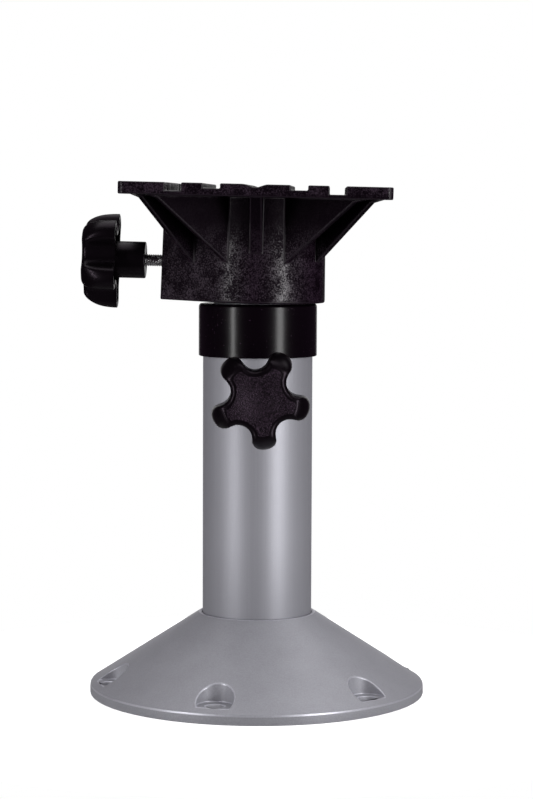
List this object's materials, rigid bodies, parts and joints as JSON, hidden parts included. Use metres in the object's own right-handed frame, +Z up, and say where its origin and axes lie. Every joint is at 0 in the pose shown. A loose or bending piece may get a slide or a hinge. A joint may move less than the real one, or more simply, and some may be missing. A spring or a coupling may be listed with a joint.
{
  "type": "boat seat pedestal",
  "caption": "A boat seat pedestal: cone-shaped deck base, tube with a sliding post held by a star clamp knob, and a ribbed square seat mount that swivels",
  "frame": {"origin": "centre of the deck face of the base, in the plane of its rim's lower edge", "axes": "+Z up along the tube's axis, +Y from the height knob to the back, +X to the right as seen from the height knob"},
  "size_m": [0.2349, 0.23, 0.3515],
  "materials": {
    "cast_aluminium": "fine cast grain, satin silver coat",
    "anodised_tube": "satin anodised",
    "screw_steel": "bright plated",
    "insert_brass": "machined",
    "bush_plastic": "smooth gloss black",
    "mount_nylon": "mottled matte black, glass filled",
    "knob_plastic": "satin black with a grained face",
    "guide_plastic": "plain",
    "pad_plastic": "plain"
  },
  "bodies": {
    "base": {"base_flange": "cast_aluminium", "pedestal_tube": "anodised_tube", "tube_set_screw_1": "screw_steel", "tube_set_screw_2": "screw_steel", "tube_set_screw_3": "screw_steel", "top_bush": "bush_plastic", "height_insert": "screw_steel"},
    "post": {"inner_post": "anodised_tube", "lower_guide": "guide_plastic", "post_cap": "guide_plastic", "thrust_washer": "screw_steel"},
    "mount": {"seat_mount": "mount_nylon", "swivel_insert": "insert_brass"},
    "height_brake": {"height_brake_pad": "pad_plastic"},
    "height_screw": {"height_knob": "knob_plastic", "height_stud": "screw_steel"},
    "swivel_brake": {"swivel_brake_pad": "pad_plastic"},
    "swivel_screw": {"swivel_knob": "knob_plastic", "swivel_stud": "screw_steel"}
  },
  "joints": [
    {"name": "height_slide", "type": "slide", "parent": "base", "child": "post", "axis": [0, 0, 1], "range_m": [0, 0.15]},
    {"name": "seat_swivel", "type": "hinge", "parent": "post", "child": "mount", "pos_m": [0, 0, 0.303], "axis": [0, 0, 1], "continuous": true},
    {"name": "height_brake_slide", "type": "slide", "parent": "base", "child": "height_brake", "axis": [0.0209, -0.9998, 0], "range_m": [0, 0.00125]},
    {"name": "height_knob_turn", "type": "hinge", "parent": "height_brake", "child": "height_screw", "pos_m": [0, 0, 0.2082], "axis": [0.0209, -0.9998, 0], "range_deg": [0, 360]},
    {"name": "swivel_brake_slide", "type": "slide", "parent": "mount", "child": "swivel_brake", "axis": [-0.9994, 0.0278, 0.0205], "range_m": [0, 0.0025]},
    {"name": "swivel_knob_turn", "type": "hinge", "parent": "swivel_brake", "child": "swivel_screw", "pos_m": [-0.00015, 0.00009, 0.2957], "axis": [-0.9994, 0.0278, 0.0205], "range_deg": [0, 720]}
  ],
  "couplings": [
    {"joint": "height_brake_slide", "follows": "height_knob_turn", "m_per_rad": 0.00019894},
    {"joint": "swivel_brake_slide", "follows": "swivel_knob_turn", "m_per_rad": 0.00019894}
  ]
}
